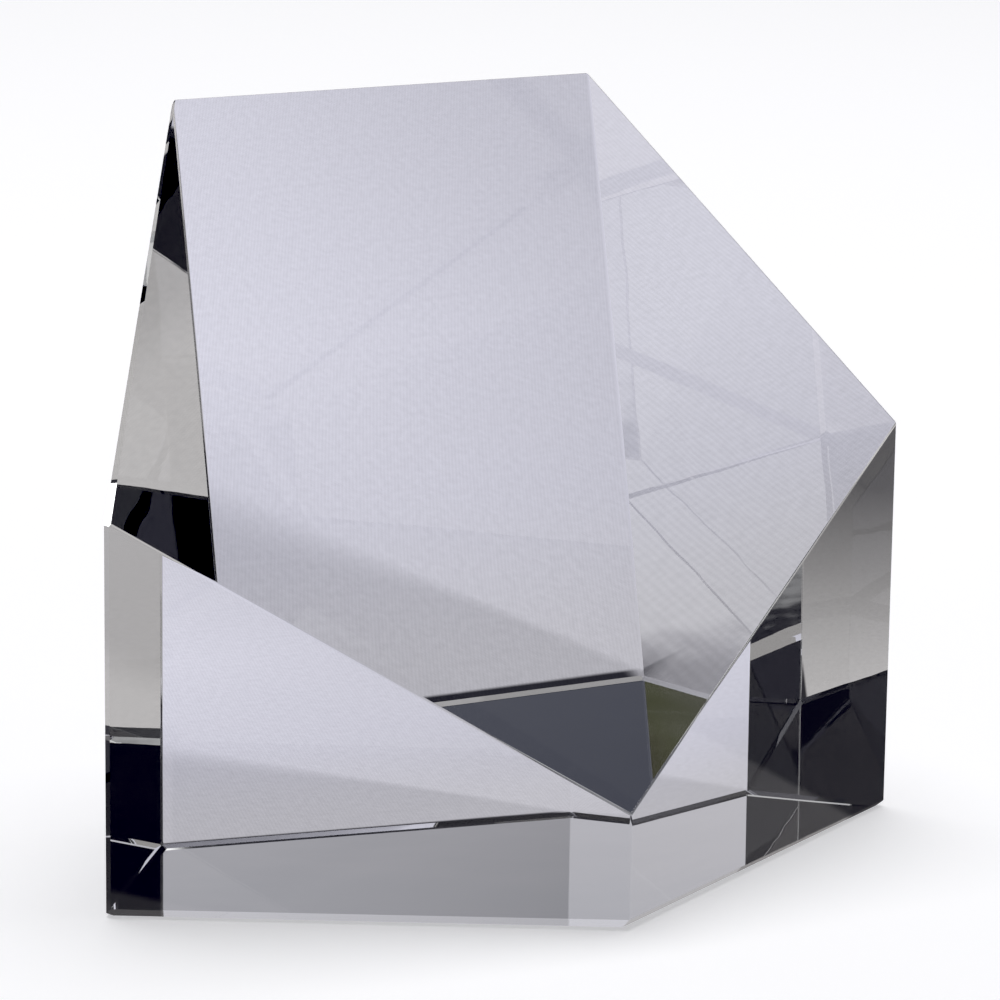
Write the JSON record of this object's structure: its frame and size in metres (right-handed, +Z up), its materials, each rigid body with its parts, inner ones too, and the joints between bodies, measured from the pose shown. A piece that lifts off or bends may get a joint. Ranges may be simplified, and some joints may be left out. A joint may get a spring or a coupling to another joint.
{
  "type": "crystal award",
  "caption": "Free-standing clear crystal block: five upright facets on a five-sided base, cut off by one slanted facet that rises from the front corner to the back edge.",
  "frame": {"origin": "on the resting face, under the middle of the width and depth", "axes": "+Z up, +X along the level back edge (the width), +Y towards the tall back; the low front corner points towards -Y"},
  "size_m": [0.1174, 0.0714, 0.0998],
  "materials": {
    "crystal": "optically clear crystal, ground and polished on every facet, bevel and arris"
  },
  "bodies": {
    "root": {"crystal_block": "crystal"}
  },
  "joints": []
}
